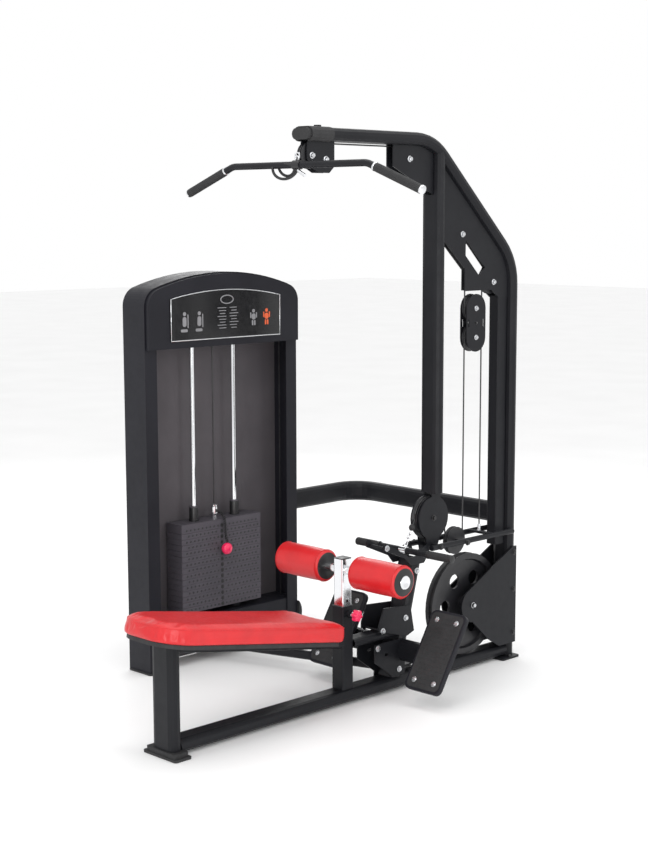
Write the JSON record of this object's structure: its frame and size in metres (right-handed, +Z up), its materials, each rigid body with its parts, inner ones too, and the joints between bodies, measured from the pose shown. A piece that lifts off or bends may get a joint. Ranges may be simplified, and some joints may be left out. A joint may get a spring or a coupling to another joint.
{
  "type": "lat pulldown machine",
  "caption": "Lat pulldown and low row machine: bent flat-oval frame, tilted padded bench, knee rollers, cable pulleys and a weight stack in an arched tower beside it.",
  "frame": {"origin": "on the floor under the rear upright, at the middle of the tube's section", "axes": "+X towards the user's right, away from the weight tower; +Y forward, the way the seated user faces; +Z up"},
  "size_m": [1.5784, 1.9992, 2.209],
  "materials": {
    "frame": "matte black powder coat",
    "shell": "satin black powder coat",
    "rubber": "matte",
    "pulley": "satin moulded",
    "vinyl": "satin vinyl",
    "chrome": "polished",
    "plates": "painted",
    "knob": "gloss",
    "cable": "coated cable",
    "placard": "gloss print"
  },
  "bodies": {
    "frame": {"main_frame_tube": "frame", "base_tube": "frame", "bench_frame": "frame", "inclined_post": "frame", "post_sleeve": "frame", "front_upright": "frame", "inner_upright": "frame", "side_bars": "frame", "wheel_fork": "frame", "base_link_tube": "frame", "connecting_tube": "frame", "stack_deck": "frame", "rod_top_bracket": "frame", "tower_shell": "shell", "tower_back_panel": "shell", "header_panel": "shell", "footplate_left": "shell", "footplate_right": "shell", "boom_end_cap": "rubber", "front_foot": "rubber", "seat_board": "rubber", "tower_pulley_guard": "rubber", "seat_pad": "vinyl", "guide_rod_left": "chrome", "guide_rod_right": "chrome", "resting_plates": "plates", "cable_boom_run": "cable", "cable_tower_run": "cable", "cable_row_run": "cable", "placard": "placard"},
    "stack": {"head_plate": "plates", "lifted_plates": "plates", "selector_rod": "chrome", "cable_stack_drop": "cable"},
    "selector": {"selector_pin": "knob"},
    "lat": {"lat_bar": "frame", "lat_link": "chrome"},
    "row": {"row_bar": "frame", "row_chain": "chrome"},
    "block": {"block_bracket": "frame", "cable_block_loop": "cable", "cable_row_loop": "cable"},
    "knee": {"knee_post": "chrome"},
    "roller_left": {"knee_roller_left": "vinyl"},
    "roller_right": {"knee_roller_right": "vinyl"},
    "pin": {"height_pin": "knob"},
    "front_pulley_body": {"front_pulley": "pulley"},
    "boom_pulley_body": {"boom_pulley": "pulley"},
    "drop_pulley_body": {"drop_pulley": "pulley"},
    "bend_pulley_body": {"bend_pulley": "pulley"},
    "block_upper_pulley_body": {"block_upper_pulley": "pulley"},
    "big_wheel_body": {"big_wheel": "pulley"},
    "turn_pulley_body": {"turn_pulley": "pulley"},
    "tower_turn_pulley_body": {"tower_turn_pulley": "pulley"},
    "tower_base_pulley_body": {"tower_base_pulley": "pulley"},
    "tower_top_pulley_rear_body": {"tower_top_pulley_rear": "pulley"},
    "tower_top_pulley_front_body": {"tower_top_pulley_front": "pulley"},
    "low_pulley_body": {"low_pulley": "pulley"},
    "return_pulley_body": {"return_pulley": "pulley"},
    "block_lower_pulley_body": {"block_lower_pulley": "pulley"}
  },
  "joints": [
    {"name": "stack_lift", "type": "slide", "parent": "frame", "child": "stack", "axis": [0, 0, 1], "range_m": [0, 0.76], "deforming": ["cable_stack_drop"]},
    {"name": "lat_pull", "type": "slide", "parent": "frame", "child": "lat", "axis": [0, 0, -1], "range_m": [0, 0.76]},
    {"name": "row_pull", "type": "slide", "parent": "frame", "child": "row", "axis": [0, -0.9, 0.436], "range_m": [0, 0.64]},
    {"name": "block_drop", "type": "slide", "parent": "frame", "child": "block", "axis": [0, 0, -1], "range_m": [0, 0.32], "deforming": ["cable_block_loop", "cable_row_loop"]},
    {"name": "knee_height", "type": "slide", "parent": "frame", "child": "knee", "axis": [0, 0, 1], "range_m": [-0.05, 0.15]},
    {"name": "roller_left_spin", "type": "hinge", "parent": "knee", "child": "roller_left", "pos_m": [-0.2, -0.973, 0.531], "axis": [1, 0, 0], "continuous": true},
    {"name": "roller_right_spin", "type": "hinge", "parent": "knee", "child": "roller_right", "pos_m": [0.2, -0.973, 0.531], "axis": [1, 0, 0], "continuous": true},
    {"name": "height_pin_pull", "type": "slide", "parent": "frame", "child": "pin", "axis": [1, 0, 0], "range_m": [0, 0.012], "stiffness_N_per_m": 1500, "springref_m": -0.004},
    {"name": "selector_pin_pull", "type": "slide", "parent": "stack", "child": "selector", "axis": [1, 0, 0], "range_m": [0, 0.12]},
    {"name": "front_pulley_turn", "type": "hinge", "parent": "frame", "child": "front_pulley_body", "pos_m": [0, -1.146, 2.098], "axis": [1, 0, 0], "range_deg": [0, 968]},
    {"name": "boom_pulley_turn", "type": "hinge", "parent": "frame", "child": "boom_pulley_body", "pos_m": [0, -0.623, 2.098], "axis": [1, 0, 0], "range_deg": [0, 968]},
    {"name": "drop_pulley_turn", "type": "hinge", "parent": "frame", "child": "drop_pulley_body", "pos_m": [0, -0.315, 1.807], "axis": [1, 0, 0], "range_deg": [0, 968]},
    {"name": "bend_pulley_turn", "type": "hinge", "parent": "frame", "child": "bend_pulley_body", "pos_m": [0, -0.118, 1.61], "axis": [1, 0, 0], "range_deg": [0, 968]},
    {"name": "block_upper_pulley_turn", "type": "hinge", "parent": "block", "child": "block_upper_pulley_body", "pos_m": [0, -0.2165, 1.505], "axis": [1, 0, 0], "range_deg": [-814, 0]},
    {"name": "big_wheel_turn", "type": "hinge", "parent": "frame", "child": "big_wheel_body", "pos_m": [0, -0.2625, 0.274], "axis": [1, 0, 0], "range_deg": [0, 211]},
    {"name": "turn_pulley_turn", "type": "hinge", "parent": "frame", "child": "turn_pulley_body", "pos_m": [-0.045, -0.6, 0.0675], "axis": [0, 0, 1], "range_deg": [0, 968]},
    {"name": "tower_turn_pulley_turn", "type": "hinge", "parent": "frame", "child": "tower_turn_pulley_body", "pos_m": [-0.85, -0.86156, 0.0675], "axis": [0, 0, 1], "range_deg": [0, 968]},
    {"name": "tower_base_pulley_turn", "type": "hinge", "parent": "frame", "child": "tower_base_pulley_body", "pos_m": [-0.895, -0.52, 0.1125], "axis": [1, 0, 0], "range_deg": [-968, 0]},
    {"name": "tower_top_pulley_rear_turn", "type": "hinge", "parent": "frame", "child": "tower_top_pulley_rear_body", "pos_m": [-0.895, -0.52, 1.535], "axis": [1, 0, 0], "range_deg": [-968, 0]},
    {"name": "tower_top_pulley_front_turn", "type": "hinge", "parent": "frame", "child": "tower_top_pulley_front_body", "pos_m": [-0.895, -0.814, 1.535], "axis": [1, 0, 0], "range_deg": [-968, 0]},
    {"name": "low_pulley_turn", "type": "hinge", "parent": "frame", "child": "low_pulley_body", "pos_m": [0, -0.475, 0.668], "axis": [1, 0, 0], "range_deg": [0, 417]},
    {"name": "return_pulley_turn", "type": "hinge", "parent": "frame", "child": "return_pulley_body", "pos_m": [0, -0.322, 0.551], "axis": [1, 0, 0], "range_deg": [-686, 0]},
    {"name": "block_lower_pulley_turn", "type": "hinge", "parent": "block", "child": "block_lower_pulley_body", "pos_m": [0, -0.2165, 1.386], "axis": [1, 0, 0], "range_deg": [0, 686]}
  ],
  "couplings": [
    {"joint": "lat_pull", "follows": "stack_lift", "ratio": 1},
    {"joint": "block_drop", "follows": "row_pull", "ratio": 0.5},
    {"joint": "front_pulley_turn", "follows": "stack_lift", "rad_per_m": 22.222},
    {"joint": "boom_pulley_turn", "follows": "stack_lift", "rad_per_m": 22.222},
    {"joint": "drop_pulley_turn", "follows": "stack_lift", "rad_per_m": 22.222},
    {"joint": "bend_pulley_turn", "follows": "stack_lift", "rad_per_m": 22.222},
    {"joint": "block_upper_pulley_turn", "follows": "stack_lift", "rad_per_m": -18.692},
    {"joint": "big_wheel_turn", "follows": "stack_lift", "rad_per_m": 4.8426},
    {"joint": "turn_pulley_turn", "follows": "stack_lift", "rad_per_m": 22.222},
    {"joint": "tower_turn_pulley_turn", "follows": "stack_lift", "rad_per_m": 22.222},
    {"joint": "tower_base_pulley_turn", "follows": "stack_lift", "rad_per_m": -22.222},
    {"joint": "tower_top_pulley_rear_turn", "follows": "stack_lift", "rad_per_m": -22.222},
    {"joint": "tower_top_pulley_front_turn", "follows": "stack_lift", "rad_per_m": -22.222},
    {"joint": "low_pulley_turn", "follows": "row_pull", "rad_per_m": 11.364},
    {"joint": "return_pulley_turn", "follows": "row_pull", "rad_per_m": -18.692},
    {"joint": "block_lower_pulley_turn", "follows": "row_pull", "rad_per_m": 18.692}
  ]
}
